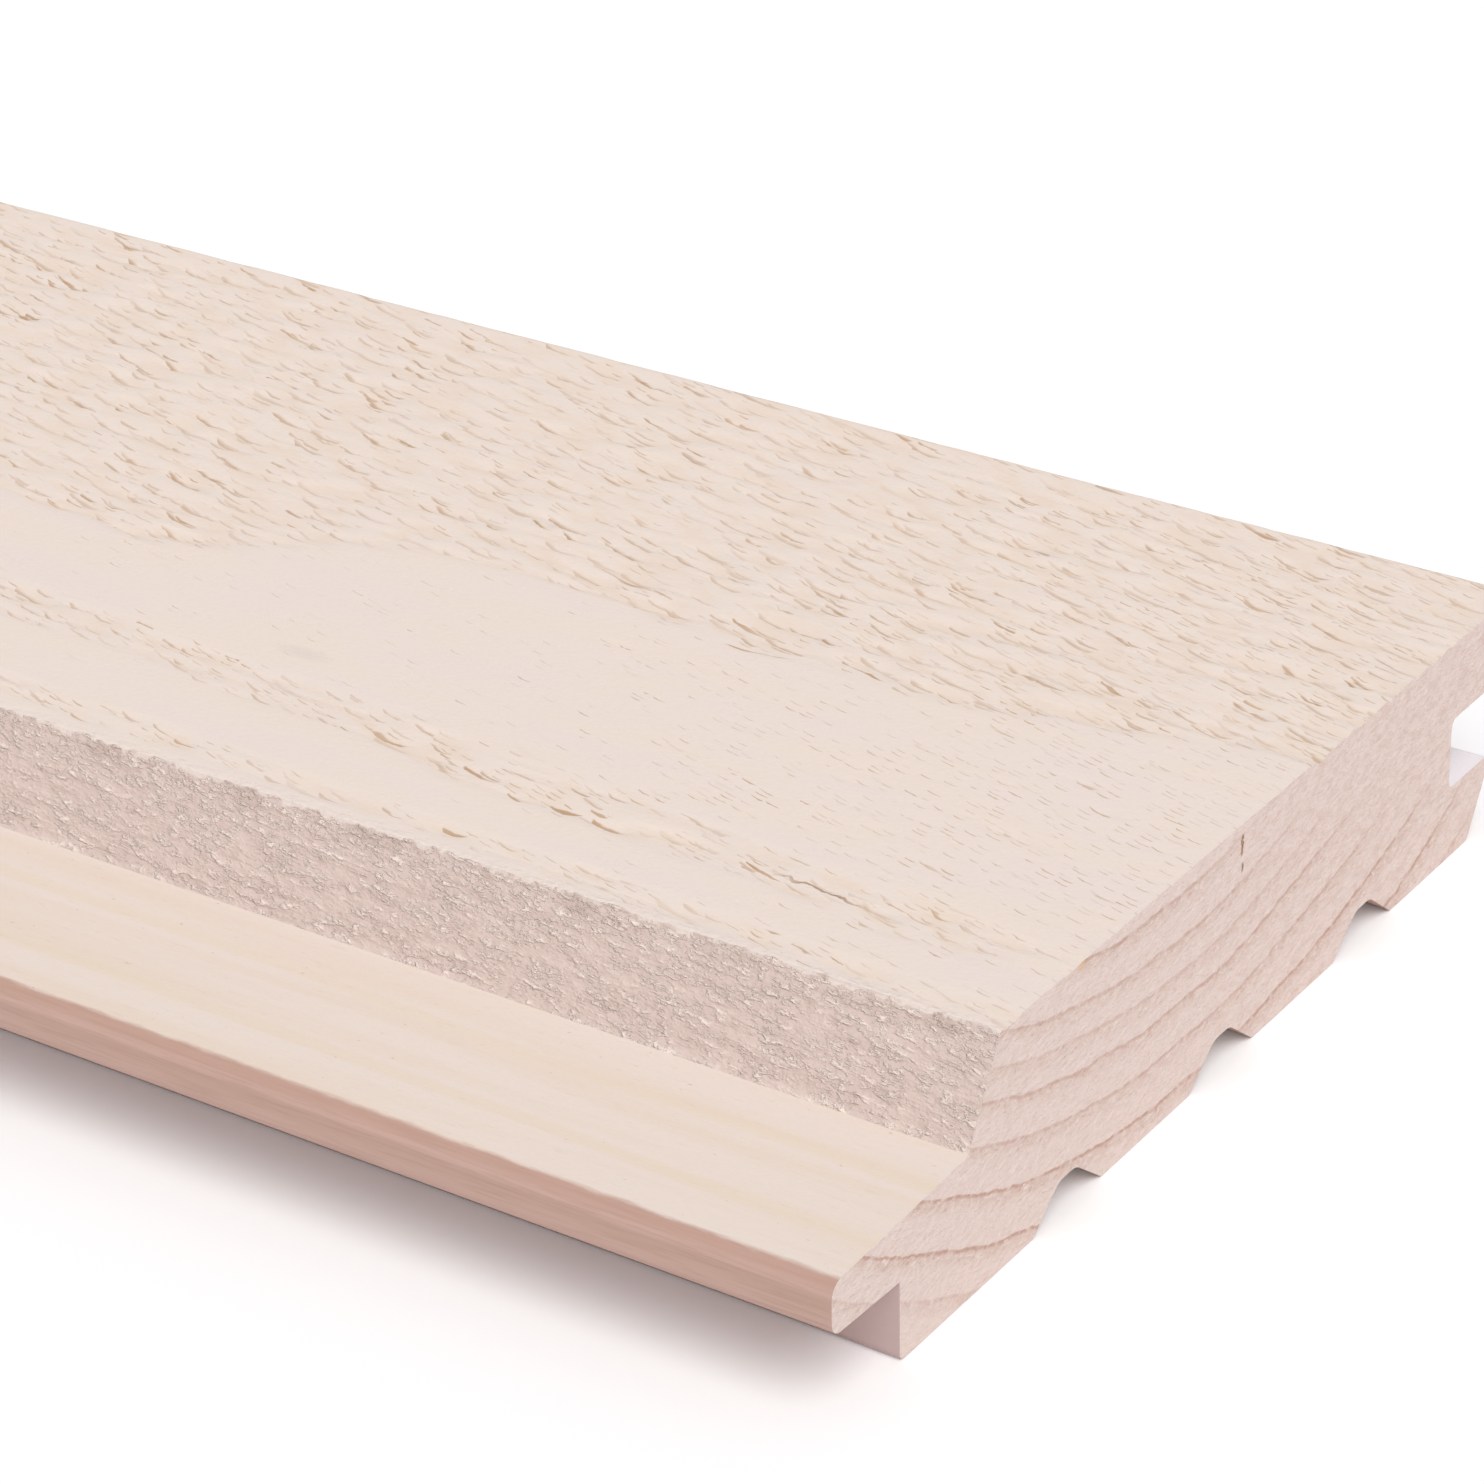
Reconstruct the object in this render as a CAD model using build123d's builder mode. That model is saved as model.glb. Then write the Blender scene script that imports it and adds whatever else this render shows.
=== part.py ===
from build123d import *
from math import radians, tan
import os

# A board of exterior cladding: one length of softwood, planed and moulded in one pass.
# It lies on its back. X runs along the board, the tongue points to -Y, the groove opens to +Y,
# and the weather face is up. The origin is in the middle of the board, on the floor under it.

# Overall sizes
board_length = 1800.0
board_width = 145.0      # from the nose of the tongue to the edge of the weather lip
board_thickness = 28.0

# Tongue, with the shelf on top of it that shows as the channel between two laid boards
tongue_reach = 12.0      # how far it stands out from the back shoulder
tongue_root_underside = 9.3  # heights over the floor, here and below
tongue_nose_underside = 9.8
tongue_nose_top = 15.7
nose_top_radius = 1.8
nose_bottom_radius = 1.5
shelf_width = 24.5       # from the nose to the foot of the face shoulder
shelf_foot_height = 16.8  # the shelf rises from the nose to here, so that water runs off it

# Shoulder between the shelf and the weather face
shoulder_lean = 28.0     # degrees from upright
shoulder_foot_radius = 0.6
arris_radius = 0.8

# Groove along the other edge, which takes the tongue of the next board
groove_depth = 16.2      # from the edge of the weather lip
groove_floor_radius = 1.0
joint_play = 0.6         # room under the nose of the tongue
lip_clearance = 1.2      # how far the weather lip clears the foot of the next board's shelf
lip_edge_radius = 1.0
weather_edge_radius = 2.0

# Back lip under the groove
back_lip_setback = 6.2   # how far it stops short of the weather lip
back_lip_slope_run = 4.4
back_lip_slope_rise = 7.5

# Relief grooves in the back, which keep the board from cupping
relief_count = 3
relief_start = 32.0      # from the back shoulder to the middle of the first groove
relief_pitch = 32.2
relief_depth = 4.1
relief_mouth = 13.8
relief_roof = 3.4
relief_roof_radius = 2.0

eased_edge = 0.8         # the small round on the edges that touch the floor

# Places that follow from the sizes
nose_y = -board_width / 2
back_shoulder_y = nose_y + tongue_reach
shoulder_foot_y = nose_y + shelf_width
shoulder_rise = board_thickness - shelf_foot_height
arris_y = shoulder_foot_y + shoulder_rise * tan(radians(shoulder_lean))
weather_lip_y = board_width / 2
weather_lip_underside = shelf_foot_height + lip_clearance
groove_floor_y = weather_lip_y - groove_depth
back_lip_top = tongue_nose_underside - joint_play
back_lip_y = weather_lip_y - back_lip_setback
back_lip_toe_y = back_lip_y - back_lip_slope_run
relief_centres = [back_shoulder_y + relief_start + i * relief_pitch for i in range(relief_count)]

# Corners of the section, anticlockwise from the foot of the back shoulder
back_shoulder_foot = (back_shoulder_y, 0)
back_lip_toe = (back_lip_toe_y, 0)
back_lip_knee = (back_lip_y, back_lip_slope_rise)
back_lip_edge = (back_lip_y, back_lip_top)
groove_floor_low = (groove_floor_y, back_lip_top)
groove_floor_high = (groove_floor_y, weather_lip_underside)
weather_lip_low = (weather_lip_y, weather_lip_underside)
weather_lip_high = (weather_lip_y, board_thickness)
face_arris = (arris_y, board_thickness)
shoulder_foot = (shoulder_foot_y, shelf_foot_height)
nose_top = (nose_y, tongue_nose_top)
nose_bottom = (nose_y, tongue_nose_underside)
tongue_root = (back_shoulder_y, tongue_root_underside)


def corners_at(sketch, points):
    """The vertices of a sketch that lie at the given points."""
    return [sketch.vertices().sort_by_distance(Vector(*point))[0] for point in points]


with BuildPart() as cladding_board:
    with BuildSketch(Plane.YZ.offset(-board_length / 2)) as section:
        with BuildLine():
            Polyline(
                back_shoulder_foot,
                back_lip_toe,
                back_lip_knee,
                back_lip_edge,
                groove_floor_low,
                groove_floor_high,
                weather_lip_low,
                weather_lip_high,
                face_arris,
                shoulder_foot,
                nose_top,
                nose_bottom,
                tongue_root,
                close=True,
            )
        make_face()

        # Each relief groove is a flat-roofed channel with sloping sides
        for centre_y in relief_centres:
            with BuildLine():
                Polyline(
                    (centre_y - relief_mouth / 2, 0),
                    (centre_y - relief_roof / 2, relief_depth),
                    (centre_y + relief_roof / 2, relief_depth),
                    (centre_y + relief_mouth / 2, 0),
                    close=True,
                )
            make_face(mode=Mode.SUBTRACT)

        relief_mouths = [(y + side * relief_mouth / 2, 0) for y in relief_centres for side in (-1, 1)]
        relief_roofs = [
            (y + side * relief_roof / 2, relief_depth) for y in relief_centres for side in (-1, 1)
        ]
        rounded_corners = [
            (eased_edge, [back_shoulder_foot, back_lip_toe, back_lip_edge] + relief_mouths),
            (relief_roof_radius, relief_roofs),
            (groove_floor_radius, [groove_floor_low, groove_floor_high]),
            (lip_edge_radius, [weather_lip_low]),
            (weather_edge_radius, [weather_lip_high]),
            (arris_radius, [face_arris]),
            (shoulder_foot_radius, [shoulder_foot]),
            (nose_top_radius, [nose_top]),
            (nose_bottom_radius, [nose_bottom]),
        ]
        for radius, points in rounded_corners:
            fillet(corners_at(section, points), radius)
    extrude(amount=board_length)

cladding_board.part.label = "cladding_board"

os.makedirs("parts", exist_ok=True)
export_step(cladding_board.part, "parts/cladding_board.step")
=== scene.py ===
import bpy
import bmesh
import math
from mathutils import Matrix, Vector


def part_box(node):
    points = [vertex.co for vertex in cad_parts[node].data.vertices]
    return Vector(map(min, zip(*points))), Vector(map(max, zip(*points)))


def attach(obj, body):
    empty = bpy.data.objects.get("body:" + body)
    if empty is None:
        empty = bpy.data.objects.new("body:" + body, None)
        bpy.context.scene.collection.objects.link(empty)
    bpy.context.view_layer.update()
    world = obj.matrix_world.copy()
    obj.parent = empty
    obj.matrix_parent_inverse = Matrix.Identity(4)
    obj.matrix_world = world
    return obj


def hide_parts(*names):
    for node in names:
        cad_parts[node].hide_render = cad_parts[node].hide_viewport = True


# Exterior cladding board lying on its back: tongue to -Y, groove to +Y, weather face up.
# The end towards +X is the one that the camera sees close up.

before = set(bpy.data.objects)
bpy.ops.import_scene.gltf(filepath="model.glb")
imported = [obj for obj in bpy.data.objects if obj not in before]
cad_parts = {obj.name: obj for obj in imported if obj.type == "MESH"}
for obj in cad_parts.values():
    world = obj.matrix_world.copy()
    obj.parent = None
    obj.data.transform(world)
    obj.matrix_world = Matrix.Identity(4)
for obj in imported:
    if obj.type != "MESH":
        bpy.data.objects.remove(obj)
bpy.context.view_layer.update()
boardLow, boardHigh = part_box("cladding_board")
mm = 0.001

board = {
    "name": "cladding_board_dressed",
    "tongueReach": 12.0 * mm,        # nose to back shoulder
    "tongueRootUnderside": 9.3 * mm,
    "tongueNoseUnderside": 9.8 * mm,
    "tongueNoseTop": 15.7 * mm,
    "shelfWidth": 24.5 * mm,         # nose to the foot of the face shoulder
    "shelfFootHeight": 16.8 * mm,
    "shoulderLean": math.radians(28),
    "grooveDepth": 16.2 * mm,
    "jointPlay": 0.6 * mm,
    "lipClearance": 1.2 * mm,
    "backLipSetback": 6.2 * mm,
    "backLipSlopeRun": 4.4 * mm,
    "backLipSlopeRise": 7.5 * mm,
    "reliefCount": 3,
    "reliefStart": 32.0 * mm,
    "reliefPitch": 32.2 * mm,
    "reliefDepth": 4.1 * mm,
    "reliefMouth": 13.8 * mm,
    "reliefRoof": 3.4 * mm,
    "reliefRoofRadius": 2.0 * mm,
    "easedEdge": 0.8 * mm,
    "grooveFloorRadius": 1.0 * mm,
    "lipEdgeRadius": 1.0 * mm,
    "arrisRadius": 0.8 * mm,
    "shoulderFootRadius": 0.6 * mm,
    "noseTopRadius": 1.8 * mm,
    "noseBottomRadius": 1.5 * mm,
    "weatherEdgeRadius": 2.0 * mm,
}

mesh = {
    "faceSpacing": 0.5 * mm,         # across the weather face, where the saw tore it
    "shoulderSpacing": 0.4 * mm,
    "shelfSpacing": 1.6 * mm,
    "endGrid": 0.9 * mm,             # squares on the sawn ends
    "lengths": [                     # stretch of the board from the seen end, and spacing along it
        (240 * mm, 0.9 * mm),
        (360 * mm, 6.0 * mm),
        (1200 * mm, 30.0 * mm),
    ],
    "mostTriangles": 196000,
    "smoothAngle": math.radians(50),
}


# Small helpers for edit mode

def deselectAll():
    if bpy.context.object and bpy.context.object.mode != "OBJECT":
        bpy.ops.object.mode_set(mode="OBJECT")
    bpy.ops.object.select_all(action="DESELECT")


def selectOnly(thing):
    deselectAll()
    thing.select_set(True)
    bpy.context.view_layer.objects.active = thing


def pickVertices(thing, wanted):
    # Selects the vertices whose place passes the test, in edit mode
    shape = bmesh.from_edit_mesh(thing.data)
    bpy.ops.mesh.select_all(action="DESELECT")
    bpy.ops.mesh.select_mode(type="VERT")
    for vertex in shape.verts:
        vertex.select = wanted(vertex.co)
    shape.select_flush_mode()
    bmesh.update_edit_mesh(thing.data)


def pickEdges(thing, wanted):
    shape = bmesh.from_edit_mesh(thing.data)
    bpy.ops.mesh.select_all(action="DESELECT")
    bpy.ops.mesh.select_mode(type="EDGE")
    for edge in shape.edges:
        edge.select = wanted(edge.verts[0].co, edge.verts[1].co)
    bmesh.update_edit_mesh(thing.data)


def pickFaces(thing, wanted):
    shape = bmesh.from_edit_mesh(thing.data)
    bpy.ops.mesh.select_all(action="DESELECT")
    bpy.ops.mesh.select_mode(type="FACE")
    for face in shape.faces:
        face.select = wanted(face.calc_center_median(), face.normal)
    bmesh.update_edit_mesh(thing.data)


# The board's section, corner by corner

noseY = boardLow.y
lipY = boardHigh.y
faceZ = boardHigh.z
backShoulderY = noseY + board["tongueReach"]
shoulderFootY = noseY + board["shelfWidth"]
shoulderRise = faceZ - board["shelfFootHeight"]
arrisY = shoulderFootY + shoulderRise * math.tan(board["shoulderLean"])
grooveFloorY = lipY - board["grooveDepth"]
grooveLowZ = board["tongueNoseUnderside"] - board["jointPlay"]
grooveHighZ = board["shelfFootHeight"] + board["lipClearance"]
backLipY = lipY - board["backLipSetback"]


def sectionCorners():
    # Each corner: y, z, radius of its round, steps in the round
    eased = board["easedEdge"]
    corners = [(backShoulderY, 0, eased, 2)]
    for i in range(board["reliefCount"]):
        centre = backShoulderY + board["reliefStart"] + i * board["reliefPitch"]
        mouth, roof = board["reliefMouth"] / 2, board["reliefRoof"] / 2
        corners.append((centre - mouth, 0, eased, 2))
        corners.append((centre - roof, board["reliefDepth"], board["reliefRoofRadius"], 3))
        corners.append((centre + roof, board["reliefDepth"], board["reliefRoofRadius"], 3))
        corners.append((centre + mouth, 0, eased, 2))
    corners += [
        (backLipY - board["backLipSlopeRun"], 0, eased, 2),
        (backLipY, board["backLipSlopeRise"], 0, 0),
        (backLipY, grooveLowZ, eased, 2),
        (grooveFloorY, grooveLowZ, board["grooveFloorRadius"], 3),
        (grooveFloorY, grooveHighZ, board["grooveFloorRadius"], 3),
        (lipY, grooveHighZ, board["lipEdgeRadius"], 3),
        (lipY, faceZ, board["weatherEdgeRadius"], 5),
        (arrisY, faceZ, board["arrisRadius"], 4),
        (shoulderFootY, board["shelfFootHeight"], board["shoulderFootRadius"], 3),
        (noseY, board["tongueNoseTop"], board["noseTopRadius"], 6),
        (noseY, board["tongueNoseUnderside"], board["noseBottomRadius"], 5),
        (backShoulderY, board["tongueRootUnderside"], 0, 0),
    ]
    return corners


def traceSection(corners, endX):
    # One vertex is extruded from corner to corner, then the loop is filled
    deselectAll()
    bpy.ops.mesh.primitive_plane_add(size=mm, location=(endX, corners[0][0], corners[0][1]))
    thing = bpy.context.object
    thing.name = board["name"]
    bpy.ops.object.transform_apply(location=True, rotation=True, scale=True)
    bpy.ops.object.mode_set(mode="EDIT")
    bpy.ops.mesh.select_all(action="SELECT")
    bpy.ops.mesh.merge(type="CENTER")
    for here, there in zip(corners, corners[1:]):
        step = (0, there[0] - here[0], there[1] - here[1])
        bpy.ops.mesh.extrude_region_move(TRANSFORM_OT_translate={"value": step})
    bpy.ops.mesh.select_all(action="SELECT")
    bpy.ops.mesh.edge_face_add()
    return thing


def roundCorners(thing, corners):
    for i, (y, z, radius, steps) in enumerate(corners):
        if radius == 0:
            continue
        before = Vector(corners[i - 1][:2]) - Vector((y, z))
        after = Vector(corners[(i + 1) % len(corners)][:2]) - Vector((y, z))
        setback = radius / math.tan(before.angle(after) / 2)
        pickVertices(thing, lambda co: abs(co.y - y) < 1e-5 and abs(co.z - z) < 1e-5)
        bpy.ops.mesh.bevel(offset=setback, segments=steps, affect="VERTICES", clamp_overlap=False)


def divideEdge(thing, low, high, spacing):
    # Cuts the section's long edges in the box between low and high (y, z) to the spacing
    def inside(a, b):
        return all(low[0] <= c.y <= high[0] and low[1] <= c.z <= high[1] for c in (a, b))

    pickEdges(thing, lambda a, b: inside(a, b) and (a - b).length > 2 * spacing)
    shape = bmesh.from_edit_mesh(thing.data)
    longest = max(edge.calc_length() for edge in shape.edges if edge.select)
    bpy.ops.mesh.subdivide(number_cuts=math.ceil(longest / spacing) - 1)


def cutGrid(thing, spacing):
    # Straight cuts over the flat section, both ways
    low, high = (noseY, 0), (lipY, faceZ)
    for axis in (0, 1):
        count = int((high[axis] - low[axis]) / spacing)
        normal = (0, 1, 0) if axis == 0 else (0, 0, 1)
        for i in range(1, count):
            level = low[axis] + (high[axis] - low[axis]) * i / count
            place = (0, level, 0) if axis == 0 else (0, 0, level)
            bpy.ops.mesh.select_all(action="SELECT")
            bpy.ops.mesh.bisect(plane_co=place, plane_no=normal)


def stretchOut(thing):
    # The section is extruded in three stretches, and each is cut across at its own spacing
    fromX = boardHigh.x
    bpy.ops.mesh.select_all(action="SELECT")
    for length, spacing in mesh["lengths"]:
        bpy.ops.mesh.extrude_region_move(TRANSFORM_OT_translate={"value": (-length, 0, 0)})
    for length, spacing in mesh["lengths"]:
        toX = fromX - length
        ends = {round(fromX, 5), round(toX, 5)}
        pickEdges(thing, lambda a, b: {round(a.x, 5), round(b.x, 5)} == ends)
        bpy.ops.mesh.subdivide(number_cuts=round(length / spacing) - 1)
        fromX = toX


# Node helpers, the same for shaders and geometry nodes

def addNode(tree, kind, inputs=None, **settings):
    made = tree.nodes.new(kind)
    for name, value in settings.items():
        setattr(made, name, value)
    for name, value in (inputs or {}).items():
        if isinstance(value, bpy.types.NodeSocket):
            tree.links.new(value, made.inputs[name])
        else:
            made.inputs[name].default_value = value
    return made


def calc(tree, operation, *values):
    made = addNode(tree, "ShaderNodeMath", dict(enumerate(values)), operation=operation)
    return made.outputs[0]


def fade(tree, value, low, high, fromValue=0.0, toValue=1.0):
    # Smooth step from one value to the other as the input goes from low to high
    inputs = {"Value": value, "From Min": low, "From Max": high,
              "To Min": fromValue, "To Max": toValue}
    return addNode(tree, "ShaderNodeMapRange", inputs, interpolation_type="SMOOTHSTEP").outputs[0]


def point(tree, x, y, z=0.0):
    return addNode(tree, "ShaderNodeCombineXYZ", {"X": x, "Y": y, "Z": z}).outputs[0]


def lengthOf(tree, vector):
    measured = addNode(tree, "ShaderNodeVectorMath", {0: vector}, operation="LENGTH")
    return measured.outputs["Value"]


def ovalSpot(tree, place, middle, reach):
    # 0 in the middle of an oval spot and 1 on its rim
    aside = []
    for here, centre, size in zip(place, middle, reach):
        aside.append(calc(tree, "MULTIPLY_ADD", here, 1 / size, -centre / size))
    return lengthOf(tree, point(tree, *aside))


def noise(tree, place, scales, detail=2.0, roughness=0.5):
    # Noise with lumps of the given length, width and height in mm
    x, y, z = place
    scaled = point(tree, calc(tree, "DIVIDE", x, scales[0]), calc(tree, "DIVIDE", y, scales[1]),
                   calc(tree, "DIVIDE", z, scales[2]))
    inputs = {"Vector": scaled, "Scale": 1.0, "Detail": detail, "Roughness": roughness}
    return addNode(tree, "ShaderNodeTexNoise", inputs).outputs[0]


def boardPlace(tree):
    # Place on the board in mm: back from the seen end (0 and below), from the nose, above the floor
    if tree.bl_idname == "ShaderNodeTree":
        source = addNode(tree, "ShaderNodeTexCoord").outputs["Object"]
    else:
        source = addNode(tree, "GeometryNodeInputPosition").outputs[0]
    split = addNode(tree, "ShaderNodeSeparateXYZ", {0: source})
    x = calc(tree, "MULTIPLY_ADD", split.outputs[0], 1000.0, -1000.0 * boardHigh.x)
    y = calc(tree, "MULTIPLY_ADD", split.outputs[1], 1000.0, -1000.0 * noseY)
    z = calc(tree, "MULTIPLY", split.outputs[2], 1000.0)
    return x, y, z


def pastArris(tree, y):
    # Distance from the arris in mm, positive on the face
    return calc(tree, "SUBTRACT", y, 1000.0 * (arrisY - noseY))


# How the saw tore the weather face. Sizes in mm, places back from the seen end and from the nose

tearing = {
    "slant": 0.22,                # chips lean off the grain by this slope
    "swellDepth": 0.30,           # slow waves in the rough parts
    "reliefLength": 232.0,        # past it the chips are in the colour alone
    "roughStep": (112.0, 142.0),  # the rough part is wider past this step
    "roughEdge": (86.0, 72.0),    # its edge before and past the step
    "chainPlace": 43.4,           # middle of the torn band
    "chainSlope": 0.06,
    "edgePlace": 33.0,            # middle of the narrow band by the arris
    "edgeSlope": 0.018,
    "straightLength": 200.0,      # the bands run straight so far, and drift past it
    "drift": (230.0, 420.0),      # the zones begin to drift, and drift fully
}

# Each kind of chip: length and width of its cell in mm, depth in mm,
# and the share of cells that have one in the rough part, in the torn bands and in the pitted part
chipKinds = [
    (8.0, 3.5, 0.62, 0.90, 0.45, 0.00),
    (4.6, 2.1, 0.42, 0.65, 0.90, 0.12),
    (2.6, 0.95, 0.16, 0.20, 0.50, 0.60),
]


def tornZones(tree, x, y):
    # 0 where the face is smooth, 1 where it is badly torn
    back = calc(tree, "MULTIPLY", x, -1.0)
    far = fade(tree, back, *tearing["drift"])
    drift = calc(tree, "SUBTRACT", noise(tree, (x, 0.0, 0.0), (260.0, 1.0, 1.0)), 0.5)
    wobble = calc(tree, "SUBTRACT", noise(tree, (x, y, 0.0), (14.0, 6.0, 1.0)), 0.5)
    roughEdge = calc(tree, "ADD", fade(tree, back, *tearing["roughStep"], *tearing["roughEdge"]),
                     fade(tree, back, 5.0, 45.0, 7.0, 0.0))
    roughEdge = calc(tree, "MULTIPLY_ADD", calc(tree, "MULTIPLY", drift, far), 70.0, roughEdge)
    roughEdge = calc(tree, "MULTIPLY_ADD", wobble, 5.0, roughEdge)
    rough = fade(tree, calc(tree, "SUBTRACT", y, roughEdge), -0.5, 2.0)

    reach = calc(tree, "MINIMUM", back, tearing["straightLength"])
    chainLine = calc(tree, "MULTIPLY_ADD", reach, tearing["chainSlope"], tearing["chainPlace"])
    chainLine = calc(tree, "MULTIPLY_ADD", wobble, 4.0, chainLine)
    chainLine = calc(tree, "MULTIPLY_ADD", calc(tree, "MULTIPLY", drift, far), 24.0, chainLine)
    fromChain = calc(tree, "ABSOLUTE", calc(tree, "SUBTRACT", y, chainLine))
    chain = fade(tree, fromChain, 2.0, 5.2, 1.0, 0.0)

    edgeLine = calc(tree, "MULTIPLY_ADD", reach, tearing["edgeSlope"], tearing["edgePlace"])
    fromEdge = calc(tree, "ABSOLUTE", calc(tree, "SUBTRACT", y, edgeLine))
    edgeTears = fade(tree, fromEdge, 0.6, 2.6, 1.0, 0.0)
    gaps = fade(tree, noise(tree, (x, y, 0.0), (16.0, 5.0, 1.0)), 0.30, 0.48)
    bands = calc(tree, "MULTIPLY", calc(tree, "MAXIMUM", chain, edgeTears), gaps)

    pitted = fade(tree, back, 15.0, 95.0, 1.0, 0.2)
    pitted = calc(tree, "MULTIPLY", pitted, fade(tree, y, 47.0, 58.0, 0.4, 1.0))
    return {"rough": rough, "bands": bands, "pitted": pitted,
            "torn": calc(tree, "MAXIMUM", rough, bands)}


def chipsOfKind(tree, x, y, length, width, seed):
    # Scale-shaped hollows, one to a cell: steep towards the tongue, and running out away from it
    slanted = calc(tree, "MULTIPLY_ADD", x, tearing["slant"], y)
    place = point(tree, calc(tree, "DIVIDE", x, length),
                  calc(tree, "MULTIPLY_ADD", slanted, 1 / width, seed))
    cell = addNode(tree, "ShaderNodeTexVoronoi", {"Vector": place, "Scale": 1.0, "Randomness": 0.9},
                   voronoi_dimensions="2D")
    inputs = {0: place, 1: cell.outputs["Position"]}
    aside = addNode(tree, "ShaderNodeVectorMath", inputs, operation="SUBTRACT").outputs[0]
    split = addNode(tree, "ShaderNodeSeparateXYZ", {0: aside})
    along, across = split.outputs[0], split.outputs[1]
    shaped = point(tree, calc(tree, "DIVIDE", along, 0.50), calc(tree, "DIVIDE", across, 0.44))
    radius = lengthOf(tree, shaped)
    ragged = noise(tree, (x, slanted, seed), (length * 0.35, width * 0.3, 1.0), 2.0)
    radius = calc(tree, "MULTIPLY_ADD", ragged, 0.9, calc(tree, "SUBTRACT", radius, 0.45))
    nearSide = calc(tree, "MULTIPLY_ADD", along, -0.35, calc(tree, "MULTIPLY", across, -2.2))
    inside = fade(tree, radius, 0.86, 1.0, 1.0, 0.0)
    depth = calc(tree, "MULTIPLY", inside, fade(tree, nearSide, -1.0, 0.9))
    # The dark line by the steep side: bare wood, with painted shade under the rim
    line = calc(tree, "MULTIPLY", fade(tree, radius, 0.30, 0.72), fade(tree, nearSide, 0.2, 0.7))
    chance = addNode(tree, "ShaderNodeSeparateXYZ", {0: cell.outputs["Color"]})
    return {"depth": depth, "line": calc(tree, "MULTIPLY", line, inside),
            "chance": chance.outputs[0], "force": chance.outputs[1]}


# The deepest chips, where the photo shows them: place of the near rim back from the end and from
# the nose in mm, half length, half width, and slope off the grain
deepChips = [
    (-87.2, 47.0, 3.2, 1.1, -0.06),
    (-74.0, 45.4, 3.2, 1.2, -0.17),
    (-67.9, 43.3, 1.5, 0.8, -0.29),
    (-61.6, 44.0, 2.7, 1.1, 0.05),
    (-58.2, 45.2, 1.6, 0.8, -0.11),
    (-55.9, 43.4, 2.8, 1.2, 0.02),
    (-36.6, 44.2, 3.2, 0.7, -0.22),
    (-91.9, 33.0, 2.0, 0.8, 0.02),
    (-84.8, 33.0, 2.0, 0.8, -0.17),
    (-68.9, 34.1, 2.2, 0.8, 0.05),
    (-64.3, 85.3, 4.8, 0.7, 0.12),
    (-52.0, 87.5, 4.1, 0.8, -0.21),
    (-87.6, 92.5, 6.5, 1.0, -0.19),
    (-68.1, 89.5, 4.2, 1.0, -0.25),
    (-13.2, 135.6, 2.8, 1.0, -0.12),
    (-32.9, 95.4, 2.8, 1.0, -0.18),
    (-26.5, 98.4, 2.7, 1.0, -0.30),
]


def oneDeepChip(tree, x, y, ragged, chip):
    # Its depth follows its width, so that the eye still sees past the rim to the dark line, which
    # is bare wood with painted shade under the rim
    centreX, rimY, halfLength, halfWidth, slope = chip
    centreY = rimY + halfWidth
    along = calc(tree, "MULTIPLY_ADD", x, 1 / halfLength, -centreX / halfLength)
    lean = calc(tree, "MULTIPLY_ADD", x, -slope, centreX * slope - centreY)
    across = calc(tree, "DIVIDE", calc(tree, "ADD", y, lean), halfWidth)
    radius = calc(tree, "ADD", lengthOf(tree, point(tree, along, across)), ragged)
    nearSide = calc(tree, "MULTIPLY_ADD", along, -0.35, calc(tree, "MULTIPLY", across, -1.0))
    inside = fade(tree, radius, 0.88, 1.0, 1.0, 0.0)
    depth = calc(tree, "MULTIPLY", inside, fade(tree, nearSide, -0.9, 0.6, 0.0, 0.36 * halfWidth))
    uneven = calc(tree, "MULTIPLY_ADD", ragged, 0.9, nearSide)
    line = calc(tree, "MULTIPLY", inside, fade(tree, uneven, 0.20, 0.46))
    return depth, line


def chips(tree, x, y, zones):
    # Depth in mm and the dark line at the steep side, 0 to 1, of all kinds together. The line is
    # bare wood with painted shade under the rim
    depth, line = 0.0, 0.0
    ragged = calc(tree, "MULTIPLY_ADD", noise(tree, (x, y, 4.0), (1.6, 0.7, 1.0), 2.0), 0.5, -0.25)
    for chip in deepChips:
        hollow, dark = oneDeepChip(tree, x, y, ragged, chip)
        depth = calc(tree, "MAXIMUM", depth, hollow)
        line = calc(tree, "MAXIMUM", line, dark)
    for seed, (length, width, deep, inRough, inBands, inPitted) in enumerate(chipKinds):
        one = chipsOfKind(tree, x, y, length, width, 10.0 * seed + 3.0)
        share = calc(tree, "MULTIPLY", zones["rough"], inRough)
        share = calc(tree, "MAXIMUM", share, calc(tree, "MULTIPLY", zones["bands"], inBands))
        share = calc(tree, "MAXIMUM", share, calc(tree, "MULTIPLY", zones["pitted"], inPitted))
        share = calc(tree, "MAXIMUM", share, 0.03)
        there = fade(tree, calc(tree, "SUBTRACT", share, one["chance"]), 0.0, 0.12)
        there = calc(tree, "MULTIPLY", there, calc(tree, "MULTIPLY_ADD", one["force"], 0.7, 0.3))
        hollow = calc(tree, "MULTIPLY", calc(tree, "MULTIPLY", one["depth"], deep), there)
        depth = calc(tree, "MAXIMUM", depth, hollow)
        line = calc(tree, "MAXIMUM", line, calc(tree, "MULTIPLY", one["line"], there))
    return depth, line


def swells(tree, x, y):
    # Slow waves of the rough parts, 0 to 1
    slanted = calc(tree, "MULTIPLY_ADD", x, tearing["slant"], y)
    return fade(tree, noise(tree, (x, slanted, 5.0), (7.0, 3.0, 1.0), 2.0), 0.3, 0.7)


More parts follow.
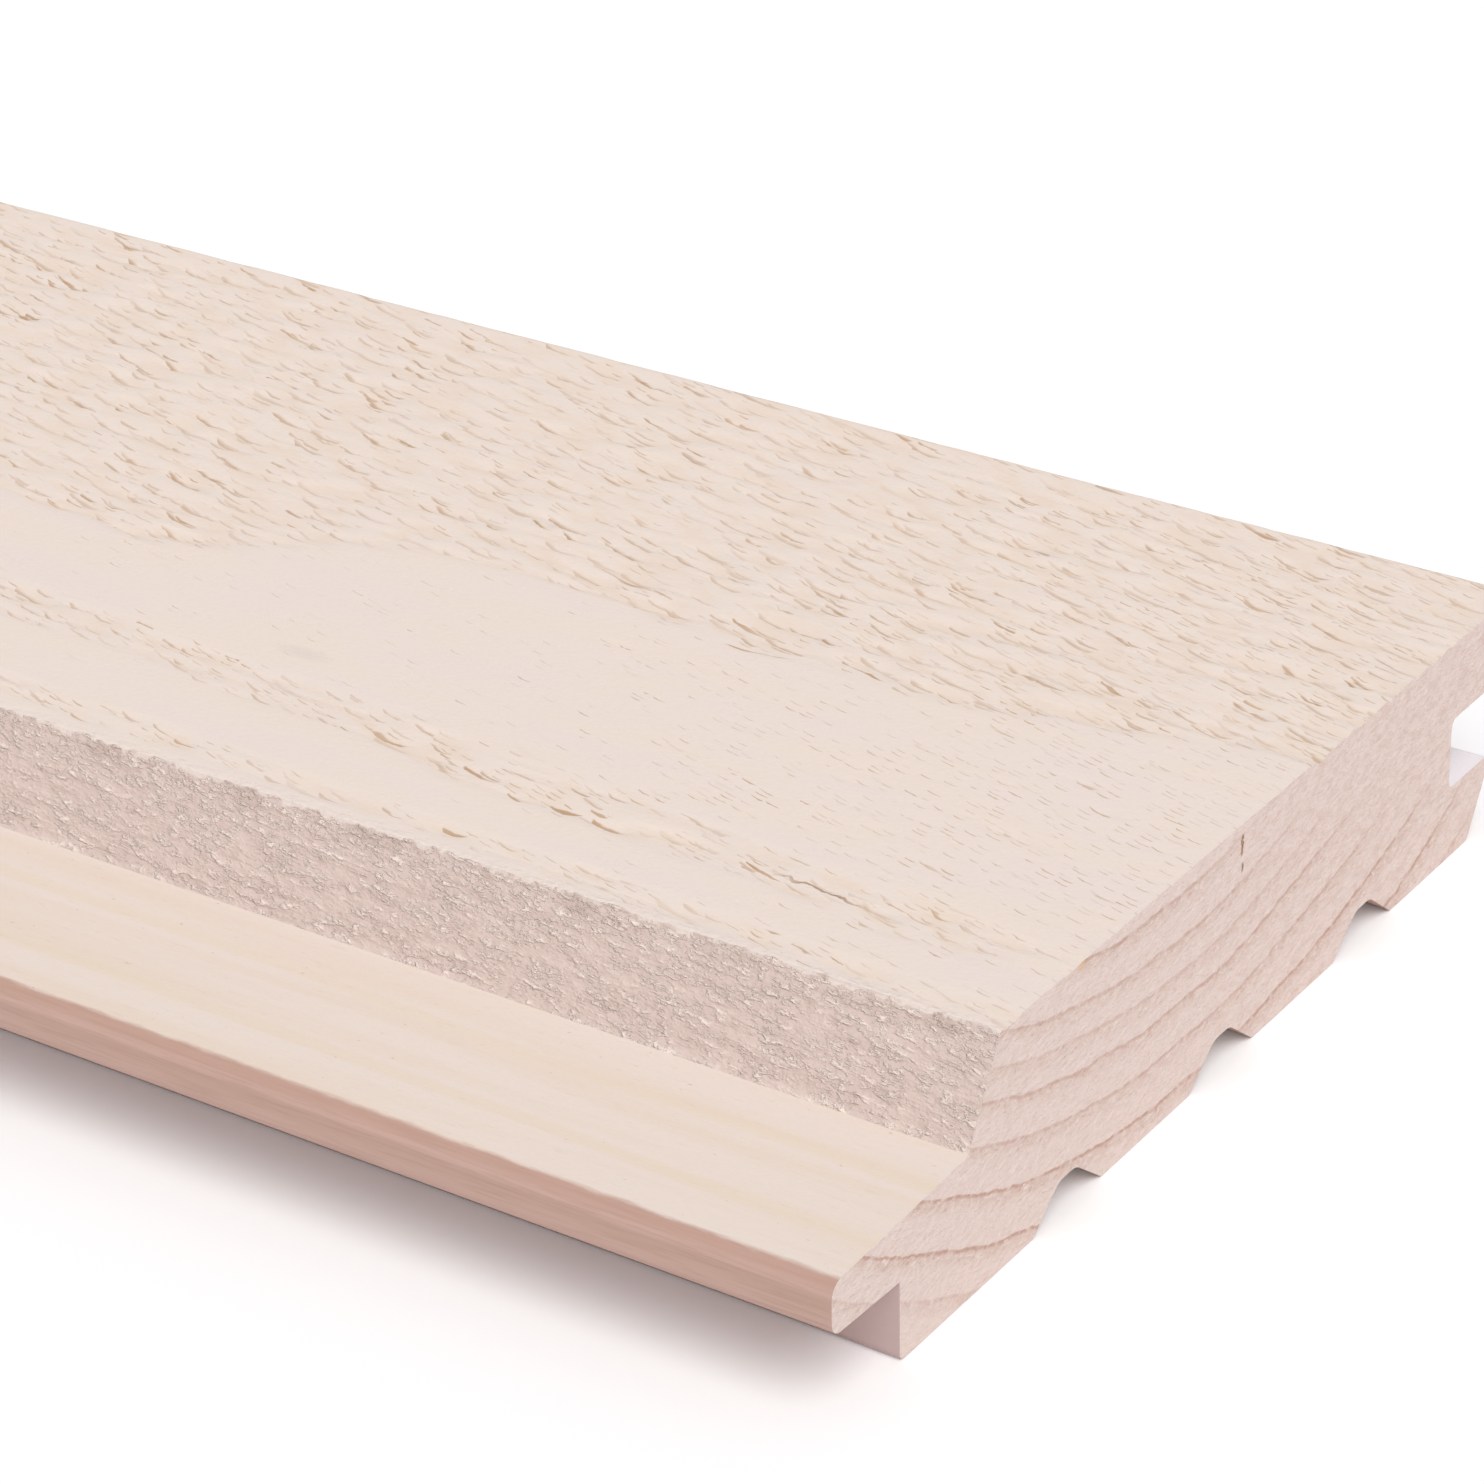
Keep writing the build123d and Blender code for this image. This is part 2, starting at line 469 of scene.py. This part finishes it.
def faceDepth(tree, x, y, zones):
    # How far the face lies under the planed height, in mm
    depth = chips(tree, x, y, zones)[0]
    low = calc(tree, "SUBTRACT", 1.0, swells(tree, x, y))
    low = calc(tree, "MULTIPLY", low, zones["torn"])
    depth = calc(tree, "MULTIPLY_ADD", low, tearing["swellDepth"], depth)
    flakes = fade(tree, noise(tree, (x, y, 2.0), (2.4, 0.9, 1.0), 2.0, 0.6), 0.42, 0.62)
    byArris = fade(tree, pastArris(tree, y), 0.8, 5.0, 0.12, 0.0)
    depth = calc(tree, "MULTIPLY_ADD", flakes, byArris, depth)
    back = calc(tree, "MULTIPLY", x, -1.0)
    near = fade(tree, back, tearing["reliefLength"] - 8.0, tearing["reliefLength"], 1.0, 0.0)
    near = calc(tree, "MULTIPLY", near, fade(tree, y, 138.0, 143.5, 1.0, 0.2))
    return calc(tree, "MULTIPLY", depth, near)


# The crust on the sawn shoulder

crust = {
    "slant": 0.10,          # it leans off the grain by this slope
    "depth": 0.3,           # mm
    "lowest": 17.2,         # height over the floor in mm where it starts
}


def crustLumps(tree, x, z):
    # 0 to 1, thickest in clusters and under the arris
    slanted = calc(tree, "MULTIPLY_ADD", x, crust["slant"], z)
    clusters = fade(tree, noise(tree, (x, slanted, 3.0), (4.5, 1.4, 1.0), 2.0, 0.6), 0.38, 0.60)
    clusters = calc(tree, "MAXIMUM", clusters, fade(tree, z, 23.0, 27.0, 0.0, 0.8))
    grains = fade(tree, noise(tree, (x, slanted, 9.0), (1.5, 0.55, 1.0), 3.0, 0.7), 0.44, 0.68)
    lumps = calc(tree, "MULTIPLY", grains, calc(tree, "MULTIPLY_ADD", clusters, 0.7, 0.2))
    waves = noise(tree, (x, slanted, 6.0), (7.0, 1.2, 1.0), 1.0)
    return calc(tree, "MULTIPLY_ADD", waves, 0.35, calc(tree, "MULTIPLY", lumps, 0.75))


# Relief as geometry nodes, applied

def addRelief(thing):
    tree = bpy.data.node_groups.new("tornRelief", "GeometryNodeTree")
    tree.interface.new_socket("Geometry", in_out="INPUT", socket_type="NodeSocketGeometry")
    tree.interface.new_socket("Geometry", in_out="OUTPUT", socket_type="NodeSocketGeometry")
    start = addNode(tree, "NodeGroupInput")
    end = addNode(tree, "NodeGroupOutput")
    x, y, z = boardPlace(tree)
    normal = addNode(tree, "GeometryNodeInputNormal").outputs[0]
    facing = addNode(tree, "ShaderNodeSeparateXYZ", {0: normal})
    aboveShelf = calc(tree, "GREATER_THAN", z, crust["lowest"])

    zones = tornZones(tree, x, y)
    onFace = fade(tree, facing.outputs[2], 0.45, 0.8)
    onFace = calc(tree, "MULTIPLY", onFace, calc(tree, "GREATER_THAN", z, 25.0))
    down = calc(tree, "MULTIPLY", faceDepth(tree, x, y, zones), onFace)

    towardsNose = calc(tree, "MULTIPLY", facing.outputs[1], -1.0)
    onShoulder = calc(tree, "MULTIPLY", fade(tree, towardsNose, 0.45, 0.8), aboveShelf)
    hollow = calc(tree, "SUBTRACT", 1.0, crustLumps(tree, x, z))
    inward = calc(tree, "MULTIPLY", calc(tree, "MULTIPLY", hollow, crust["depth"]), onShoulder)

    push = point(tree, 0.0,
                 calc(tree, "MULTIPLY", inward, mm * math.cos(board["shoulderLean"])),
                 calc(tree, "ADD", calc(tree, "MULTIPLY", down, -mm),
                      calc(tree, "MULTIPLY", inward, -mm * math.sin(board["shoulderLean"]))))
    moved = addNode(tree, "GeometryNodeSetPosition", {"Geometry": start.outputs[0], "Offset": push})
    tree.links.new(moved.outputs[0], end.inputs[0])
    modifier = thing.modifiers.new("tornRelief", "NODES")
    modifier.node_group = tree
    selectOnly(thing)
    bpy.ops.object.modifier_apply(modifier=modifier.name)
    bpy.data.node_groups.remove(tree)


def thinOut(thing):
    # Flat stretches need few triangles, torn ones keep theirs
    triangles = sum(len(face.vertices) - 2 for face in thing.data.polygons)
    print("board triangles before thinning:", triangles)
    modifier = thing.modifiers.new("thinOut", "DECIMATE")
    modifier.ratio = min(1.0, mesh["mostTriangles"] / triangles)
    selectOnly(thing)
    bpy.ops.object.modifier_apply(modifier=modifier.name)
    print("board triangles:", sum(len(face.vertices) - 2 for face in thing.data.polygons))


# Finishes

finish = {
    "primerPink": (0.828, 0.718, 0.660),    # pale primer on the smooth face
    "primer": (0.840, 0.718, 0.642),        # creamier
    "primerInLows": (0.815, 0.672, 0.560),    # darker and yellower, where the torn face lies low
    "shelfPink": (0.808, 0.694, 0.628),
    "shelf": (0.795, 0.664, 0.570),
    "shelfStripe": (0.790, 0.650, 0.510),
    "tearAndShade": (0.50, 0.31, 0.17),             # bare wood in a tear, and painted shade under the chips' rims
    "smudge": (0.680, 0.580, 0.550),        # a knot that shows through
    # The shoulder's crust: its own colour, lighter on the crests of its lumps as a painted
    # highlight and darker in the hollows as painted shade
    "shoulderLow": (0.722, 0.576, 0.522),
    "shoulderLitCrest": (0.955, 0.798, 0.722),
    "shoulderShade": (0.490, 0.362, 0.308),
    "bare": (0.615, 0.410, 0.345),
    "bareDark": (0.470, 0.290, 0.230),
    "backShoulder": (0.600, 0.460, 0.450),
    "groove": (0.850, 0.800, 0.815),
    "end": (0.778, 0.638, 0.584),
    "endBand": (0.655, 0.485, 0.420),
    "endFleck": (0.870, 0.745, 0.690),
    "ringLine": (0.495, 0.282, 0.218),
    "resinAndGlint": (0.72, 0.40, 0.17),
    "crack": (0.42, 0.21, 0.10),
}


def blend(tree, share, first, second):
    # Colours are rows of three numbers or sockets
    made = addNode(tree, "ShaderNodeMix", data_type="RGBA")
    for name, value in (("Factor", share), ("A", first), ("B", second)):
        socket = [s for s in made.inputs if s.name == name and s.enabled][0]
        if isinstance(value, bpy.types.NodeSocket):
            tree.links.new(value, socket)
        elif name == "Factor":
            socket.default_value = value
        else:
            socket.default_value = (*value, 1.0)
    return [s for s in made.outputs if s.enabled][0]


def newFinish(name, roughness):
    material = bpy.data.materials.new(name)
    material.use_nodes = True
    tree = material.node_tree
    shader = tree.nodes["Principled BSDF"]
    shader.inputs["Roughness"].default_value = roughness
    shader.inputs["Specular IOR Level"].default_value = 0.25
    return material, tree, shader


def connect(tree, shader, colour, height):
    # Height in mm
    tree.links.new(colour, shader.inputs["Base Color"])
    bump = addNode(tree, "ShaderNodeBump", {"Height": height, "Distance": mm, "Strength": 1.0})
    tree.links.new(bump.outputs[0], shader.inputs["Normal"])


# Single marks in mm, each with its place
marks = {
    "knot": (-107.8, 58.4),           # back from the seen end, from the nose
    "knotReach": (5.6, 1.8),
    "faceCrack": (-38.0, -22.0),      # from where to where along the face
    "faceCrackLine": (-0.09, 40.7),   # slope, and distance from the nose at the end
    "endCrack": 79.9,                 # from the nose
    "resinDrop": (46.0, 28.0),        # from the nose, above the floor
}


def sawnPrimer():
    material, tree, shader = newFinish("sawnPrimer", 0.75)
    x, y, z = boardPlace(tree)
    zones = tornZones(tree, x, y)
    line = chips(tree, x, y, zones)[1]
    low = calc(tree, "MULTIPLY", calc(tree, "SUBTRACT", 1.0, swells(tree, x, y)), zones["torn"])

    broad = noise(tree, (x, y, 0.0), (26.0, 7.0, 1.0), 3.0)
    cream = fade(tree, broad, 0.35, 0.65)
    cream = calc(tree, "MAXIMUM", cream, calc(tree, "MULTIPLY", zones["torn"], 0.6))
    colour = blend(tree, cream, finish["primerPink"], finish["primer"])
    # Darker and yellower down in the slow waves of the torn parts
    inLows = fade(tree, low, 0.2, 1.0, 0.0, 0.6)
    colour = blend(tree, inLows, colour, finish["primerInLows"])
    # Dark lines at the steep sides of the chips: bare wood, with painted shade under their rims
    strength = fade(tree, noise(tree, (x, y, 1.0), (14.0, 6.0, 1.0)), 0.3, 0.7, 0.40, 0.95)
    colour = blend(tree, calc(tree, "MULTIPLY", line, strength), colour, finish["tearAndShade"])

    # The deepest crack in the torn band, and the smudge of a knot under the primer
    wander = noise(tree, (x, 0.0, 4.0), (2.5, 1.0, 1.0), 2.0)
    crackLine = calc(tree, "MULTIPLY_ADD", x, *marks["faceCrackLine"])
    crackLine = calc(tree, "MULTIPLY_ADD", wander, 2.4, crackLine)
    aside = calc(tree, "ABSOLUTE", calc(tree, "SUBTRACT", y, crackLine))
    crackStart, crackEnd = marks["faceCrack"]
    crack = calc(tree, "MULTIPLY", fade(tree, x, crackStart, crackStart + 7.0),
                 fade(tree, x, crackEnd - 6.0, crackEnd, 1.0, 0.0))
    crack = calc(tree, "MULTIPLY", crack, fade(tree, aside, 0.05, 0.30, 0.9, 0.0))
    colour = blend(tree, crack, colour, finish["tearAndShade"])
    knot = ovalSpot(tree, (x, y), marks["knot"], marks["knotReach"])
    colour = blend(tree, fade(tree, knot, 0.0, 1.0, 0.4, 0.0), colour, finish["smudge"])

    # The shoulder, below the arris
    fromArris = pastArris(tree, y)
    chipped = noise(tree, (x, y, 7.0), (2.2, 1.0, 1.0), 3.0, 0.6)
    edge = calc(tree, "MULTIPLY_ADD", chipped, 1.3, calc(tree, "SUBTRACT", fromArris, 0.65))
    onShoulder = fade(tree, edge, -0.05, 0.15, 1.0, 0.0)
    raised = crustLumps(tree, x, z)
    slanted = calc(tree, "MULTIPLY_ADD", x, crust["slant"], z)
    streaks = noise(tree, (x, slanted, 0.0), (4.0, 0.5, 1.0), 2.0, 0.6)
    # Painted highlight on the crests of the crust's lumps, painted shade in its hollows
    litCrestShare = fade(tree, raised, 0.12, 0.62)
    shoulder = blend(tree, litCrestShare, finish["shoulderLow"], finish["shoulderLitCrest"])
    streaks = fade(tree, streaks, 0.54, 0.78, 0.0, 0.5)
    shoulder = blend(tree, streaks, shoulder, finish["shoulderShade"])
    patches = fade(tree, noise(tree, (x, 0.0, 2.0), (9.0, 1.0, 1.0), 2.0), 0.48, 0.62)
    patches = calc(tree, "MULTIPLY", patches, fade(tree, edge, -1.0, -0.2, 0.0, 0.35))
    shoulder = blend(tree, patches, shoulder, finish["shoulderShade"])
    colour = blend(tree, onShoulder, colour, shoulder)

    # The chips are in the mesh, so the bump is for what is finer
    fuzz = noise(tree, (x, y, z), (0.9, 0.45, 0.45), 2.0, 0.6)
    height = calc(tree, "MULTIPLY", crack, -0.2)
    height = calc(tree, "MULTIPLY_ADD", calc(tree, "MULTIPLY", raised, 0.38), onShoulder, height)
    splinters = calc(tree, "SUBTRACT", chipped, 0.5)
    byArris = fade(tree, fromArris, 0.5, 2.2, 0.45, 0.0)
    height = calc(tree, "MULTIPLY_ADD", splinters, byArris, height)
    height = calc(tree, "MULTIPLY_ADD", fuzz, 0.08, height)
    connect(tree, shader, colour, height)
    return material


# Growth rings, in mm. The pith is over the board, and each ring has a middle of its own:
# the smaller the ring, the closer to the tongue
rings = {
    "middleHeight": 122.9,    # above the floor
    "firstGuess": 72.0,       # of the middle, from the nose
    "middlePlace": 75.0,      # of the ring with the radius below, from the nose
    "middleRadius": 130.0,
    "middleDrift": 0.27,      # how far the middle moves for each mm of radius
}

# Radius of each ring, and how dark its line is
ringRadii = [
    (97.1, 0.8),
    (102.3, 0.6),
    (106.4, 0.4),
    (110.2, 0.7),
    (115.2, 0.6),
    (120.7, 1.0),
    (126.9, 1.0),
    (132.2, 0.35),
]


def ringRadius(tree, x, y, z):
    rise = calc(tree, "SUBTRACT", z, rings["middleHeight"])
    rise2 = calc(tree, "MULTIPLY", rise, rise)
    aside = calc(tree, "SUBTRACT", y, rings["firstGuess"])
    guess = calc(tree, "SQRT", calc(tree, "MULTIPLY_ADD", aside, aside, rise2))
    startY = rings["middlePlace"] - rings["middleDrift"] * rings["middleRadius"]
    middleY = calc(tree, "MULTIPLY_ADD", guess, rings["middleDrift"], startY)
    aside = calc(tree, "SUBTRACT", y, middleY)
    radius = calc(tree, "SQRT", calc(tree, "MULTIPLY_ADD", aside, aside, rise2))
    wander = noise(tree, (x, y, z), (160.0, 14.0, 14.0), 2.0)
    radius = calc(tree, "MULTIPLY_ADD", wander, 1.6, calc(tree, "SUBTRACT", radius, 0.8))
    ragged = noise(tree, (x, y, z), (30.0, 1.7, 1.7), 2.0)
    radius = calc(tree, "SUBTRACT", radius, fade(tree, y, 95.0, 125.0, 0.35, 1.45))
    return calc(tree, "MULTIPLY_ADD", ragged, 0.7, radius)


def growthRings(tree, radius):
    # The thin dark line of each ring, and the band that fades out past it
    line, band = 0.0, 0.0
    for ring, dark in ringRadii:
        past = calc(tree, "SUBTRACT", radius, ring)
        thisLine = calc(tree, "MULTIPLY", fade(tree, past, -0.25, 0.0, 0.0, dark),
                        fade(tree, past, 0.05, 0.55, 1.0, 0.0))
        thisBand = calc(tree, "MULTIPLY", fade(tree, past, -0.1, 0.25, 0.0, 0.4 + 0.5 * dark),
                        fade(tree, past, 0.5, 2.6, 1.0, 0.0))
        line = calc(tree, "MAXIMUM", line, thisLine)
        band = calc(tree, "MAXIMUM", band, thisBand)
    return line, band


def endGrain():
    material, tree, shader = newFinish("endGrain", 0.85)
    x, y, z = boardPlace(tree)
    line, band = growthRings(tree, ringRadius(tree, x, y, z))
    upper = calc(tree, "MULTIPLY_ADD", y, 0.35, z)
    clear = fade(tree, upper, 46.0, 58.0, 1.0, 0.12)    # the rings fade out up by the groove
    broken = fade(tree, noise(tree, (x, y, z), (5.0, 1.6, 1.6), 2.0), 0.3, 0.55, 0.3, 1.0)
    line = calc(tree, "MULTIPLY", line, calc(tree, "MULTIPLY", clear, broken))
    lumpy = fade(tree, noise(tree, (x, y, z), (5.0, 2.0, 0.9), 3.0, 0.7), 0.34, 0.62, 0.2, 0.95)
    band = calc(tree, "MULTIPLY", calc(tree, "MULTIPLY", band, lumpy), clear)
    speckle = noise(tree, (x, y, z), (1.2, 1.25, 0.6), 3.0, 0.7)
    blotch = noise(tree, (x, y, z), (3.0, 2.4, 1.3), 3.0, 0.7)
    colour = blend(tree, band, finish["end"], finish["endBand"])
    mottle = fade(tree, y, 60.0, 105.0, 0.25, 0.55)
    mottle = calc(tree, "MULTIPLY", fade(tree, blotch, 0.40, 0.68), mottle)
    colour = blend(tree, mottle, colour, finish["endBand"])
    colour = blend(tree, calc(tree, "MULTIPLY", line, 0.8), colour, finish["ringLine"])
    flecks = fade(tree, speckle, 0.54, 0.66)
    flecks = calc(tree, "MULTIPLY", flecks, calc(tree, "MULTIPLY_ADD", band, 0.55, 0.3))
    colour = blend(tree, flecks, colour, finish["endFleck"])
    pits = fade(tree, speckle, 0.32, 0.42, 1.0, 0.0)
    pits = calc(tree, "MULTIPLY", pits, calc(tree, "MULTIPLY_ADD", band, 0.6, 0.15))
    colour = blend(tree, pits, colour, finish["ringLine"])

    # A crack down from the face with a painted orange glint in it, and a drop of resin on the
    # face's edge
    wander = noise(tree, (x, y, z), (1.0, 2.0, 0.9), 2.0)
    aside = calc(tree, "MULTIPLY_ADD", wander, 0.9, calc(tree, "SUBTRACT", y, marks["endCrack"]))
    aside = calc(tree, "ABSOLUTE", aside)
    # Painted glint: orange patches of light in the crack
    glint = fade(tree, noise(tree, (x, y, z), (1.0, 1.0, 0.45), 1.0), 0.42, 0.58)
    crack = calc(tree, "MULTIPLY", fade(tree, z, 24.0, 24.6), fade(tree, z, 26.2, 26.9, 1.0, 0.0))
    lower = calc(tree, "MULTIPLY", fade(tree, z, 22.0, 22.4), fade(tree, z, 22.9, 23.4, 0.7, 0.0))
    crack = calc(tree, "MAXIMUM", crack, lower)
    crack = calc(tree, "MULTIPLY", crack, fade(tree, aside, 0.03, 0.26, 1.0, 0.0))
    colour = blend(tree, crack, colour, blend(tree, glint, finish["crack"], finish["resinAndGlint"]))
    drop = ovalSpot(tree, (y, z), marks["resinDrop"], (1.0, 1.0))
    colour = blend(tree, fade(tree, drop, 0.4, 1.3, 0.45, 0.0), colour, finish["resinAndGlint"])

    height = calc(tree, "MULTIPLY", speckle, 0.28)
    height = calc(tree, "MULTIPLY_ADD", blotch, 0.25, height)
    height = calc(tree, "MULTIPLY_ADD", crack, -0.5, height)
    connect(tree, shader, colour, height)
    return material


def planedWood():
    material, tree, shader = newFinish("planedWood", 0.7)
    x, y, z = boardPlace(tree)
    band = growthRings(tree, ringRadius(tree, x, y, z))[1]
    pores = noise(tree, (x, y, z), (9.0, 0.3, 0.3), 3.0, 0.6)
    bare = blend(tree, calc(tree, "MULTIPLY", band, 0.5), finish["bare"], finish["bareDark"])
    bare = blend(tree, fade(tree, pores, 0.4, 0.7, 0.0, 0.45), bare, finish["bareDark"])

    inGroove = calc(tree, "MULTIPLY", calc(tree, "GREATER_THAN", y, 120.0),
                    calc(tree, "GREATER_THAN", z, 8.5))
    bare = blend(tree, inGroove, bare, finish["groove"])
    underTongue = calc(tree, "MULTIPLY", fade(tree, y, 6.0, 11.0), calc(tree, "LESS_THAN", y, 13.0))
    bare = blend(tree, calc(tree, "MULTIPLY", underTongue, 0.9), bare, finish["backShoulder"])

    # Primer covers the shelf and ends ragged on the nose
    ragged = noise(tree, (x, y, z), (6.0, 1.2, 1.2), 3.0, 0.65)
    nosePaint = fade(tree, calc(tree, "ADD", ragged, y), 1.6, 2.4)
    onShelf = calc(tree, "MULTIPLY", calc(tree, "LESS_THAN", y, 26.0),
                   calc(tree, "GREATER_THAN", z, 14.5))
    painted = calc(tree, "MULTIPLY", nosePaint, onShelf)
    onRound = calc(tree, "MULTIPLY", fade(tree, z, 14.4, 15.4, 0.0, 0.6),
                   calc(tree, "LESS_THAN", y, 3.0))
    bare = blend(tree, onRound, bare, finish["bareDark"])
    weatherLip = fade(tree, calc(tree, "MULTIPLY_ADD", ragged, 3.0, z), 20.0, 22.0)
    weatherLip = calc(tree, "MULTIPLY", weatherLip, calc(tree, "GREATER_THAN", y, 143.0))
    painted = calc(tree, "MAXIMUM", painted, weatherLip)
    broad = noise(tree, (x, y, 0.0), (90.0, 4.0, 1.0), 3.0)
    primer = blend(tree, fade(tree, broad, 0.38, 0.66), finish["shelfPink"], finish["shelf"])
    for stripePlace, seed in ((10.0, 1.0), (20.0, 2.0)):
        bend = noise(tree, (x, 0.0, seed), (70.0, 1.0, 1.0))
        aside = calc(tree, "MULTIPLY_ADD", bend, 4.0, calc(tree, "SUBTRACT", y, stripePlace))
        aside = calc(tree, "ABSOLUTE", aside)
        primer = blend(tree, fade(tree, aside, 0.3, 1.4, 0.5, 0.0), primer, finish["shelfStripe"])
    specks = noise(tree, (x, y, 8.0), (1.3, 0.7, 1.0), 2.0)
    primer = blend(tree, fade(tree, specks, 0.70, 0.78, 0.0, 0.45), primer, finish["tearAndShade"])
    faint = noise(tree, (x, y, 3.0), (3.0, 0.5, 1.0), 3.0, 0.6)
    primer = blend(tree, fade(tree, faint, 0.58, 0.75, 0.0, 0.12), primer, finish["tearAndShade"])
    colour = blend(tree, painted, bare, primer)
    height = calc(tree, "MULTIPLY", pores, 0.03)
    height = calc(tree, "MULTIPLY_ADD", faint, 0.06, height)
    connect(tree, shader, colour, height)
    return material


def assignFinishes(thing):
    # Sawn primer on the weather face and shoulder, end grain on both ends, planed wood elsewhere
    for material in (planedWood(), sawnPrimer(), endGrain()):
        thing.data.materials.append(material)

    def pickSlot(index, wanted):
        pickFaces(thing, wanted)
        thing.active_material_index = index
        bpy.ops.object.material_slot_assign()

    pickSlot(1, lambda co, normal: co.z > board["shelfFootHeight"] + 0.2 * mm
             and co.y > shoulderFootY and normal.x ** 2 < 0.5
             and (normal.z > 0.4 or co.y < arrisY + mm))
    pickSlot(2, lambda co, normal: abs(normal.x) > 0.9)


def makeBoard():
    corners = sectionCorners()
    thing = traceSection(corners, boardHigh.x)
    roundCorners(thing, corners)
    bpy.ops.mesh.select_all(action="SELECT")
    bpy.ops.mesh.delete(type="ONLY_FACE")
    divideEdge(thing, (arrisY, faceZ - 1e-6), (lipY, faceZ + 1e-6), mesh["faceSpacing"])
    divideEdge(thing, (shoulderFootY, board["shelfFootHeight"]), (arrisY, faceZ - 0.3 * mm),
               mesh["shoulderSpacing"])
    divideEdge(thing, (noseY, board["tongueNoseTop"] - mm),
               (shoulderFootY, board["shelfFootHeight"] + mm), mesh["shelfSpacing"])
    bpy.ops.mesh.select_all(action="SELECT")
    bpy.ops.mesh.edge_face_add()
    cutGrid(thing, mesh["endGrid"])
    print("section cut")
    stretchOut(thing)
    bpy.ops.mesh.select_all(action="SELECT")
    bpy.ops.mesh.normals_make_consistent(inside=False)
    assignFinishes(thing)
    bpy.ops.object.mode_set(mode="OBJECT")
    print("board stretched:", len(thing.data.polygons), "faces")
    addRelief(thing)
    thinOut(thing)
    selectOnly(thing)
    bpy.ops.object.shade_smooth_by_angle(angle=mesh["smoothAngle"])
    # Flat stretches keep their own shading beside the rounds
    flatten = thing.modifiers.new("flatNormals", "WEIGHTED_NORMAL")
    flatten.keep_sharp = True
    bpy.ops.object.modifier_apply(modifier=flatten.name)
    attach(thing, "root")
    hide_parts("cladding_board")
    return thing


# Floor, light and camera

studio = {
    "floorSize": 8.0,
    "floorDrop": 0.05 * mm,              # so that it doesn't cut into the board's back
    "floorColour": (0.93, 0.925, 0.93),
    "floorGlow": 0.10,                   # seen by the camera alone, so that the lit floor is white
    "ambient": 0.52,
    "sunStrength": 1.85,
    "sunAngle": math.radians(45),
    "sunFrom": (0.60, -0.38, 1.0),
}

camera = {
    "place": (1.11219, -0.39777, 0.28063),
    "right": (0.8317, 0.5550, -0.0163),
    "up": (-0.2491, 0.3992, 0.8824),
    "back": (0.4963, -0.7298, 0.4702),
    "lens": 120.9,
    "sensor": 36.0,
}


def makeFloor():
    deselectAll()
    middle = (0, 0, -studio["floorDrop"])
    bpy.ops.mesh.primitive_plane_add(size=studio["floorSize"], location=middle)
    floor = bpy.context.object
    floor.name = "studioFloor"
    material = bpy.data.materials.new("studioFloor")
    material.use_nodes = True
    tree = material.node_tree
    shader = tree.nodes["Principled BSDF"]
    shader.inputs["Base Color"].default_value = (*studio["floorColour"], 1.0)
    shader.inputs["Roughness"].default_value = 1.0
    shader.inputs["Specular IOR Level"].default_value = 0.0
    shader.inputs["Emission Color"].default_value = (1.0, 1.0, 1.0, 1.0)
    seen = addNode(tree, "ShaderNodeLightPath").outputs["Is Camera Ray"]
    glow = calc(tree, "MULTIPLY", seen, studio["floorGlow"])
    tree.links.new(glow, shader.inputs["Emission Strength"])
    floor.data.materials.append(material)


def makeLight():
    world = bpy.data.worlds.new("studio")
    bpy.context.scene.world = world
    world.use_nodes = True
    tree = world.node_tree
    background = tree.nodes["Background"]
    background.inputs["Color"].default_value = (1.0, 1.0, 1.0, 1.0)
    rays = addNode(tree, "ShaderNodeLightPath")
    seen = calc(tree, "MAXIMUM", rays.outputs["Is Camera Ray"], rays.outputs["Is Glossy Ray"])
    strength = fade(tree, seen, 0.0, 1.0, studio["ambient"], 1.0)
    tree.links.new(strength, background.inputs["Strength"])
    deselectAll()
    bpy.ops.object.light_add(type="SUN", location=studio["sunFrom"])
    sun = bpy.context.object
    sun.rotation_euler = Vector(studio["sunFrom"]).to_track_quat("Z", "Y").to_euler()
    sun.data.energy = studio["sunStrength"]
    sun.data.angle = studio["sunAngle"]


def makeCamera():
    bpy.ops.object.camera_add()
    eye = bpy.context.object
    turn = Matrix((camera["right"], camera["up"], camera["back"])).transposed().to_4x4()
    eye.matrix_world = Matrix.Translation(camera["place"]) @ turn
    eye.data.lens = camera["lens"]
    eye.data.sensor_width = camera["sensor"]
    bpy.context.scene.camera = eye


makeBoard()
makeFloor()
makeLight()
makeCamera()
bpy.context.scene.view_settings.view_transform = "Standard"
print("scene made")
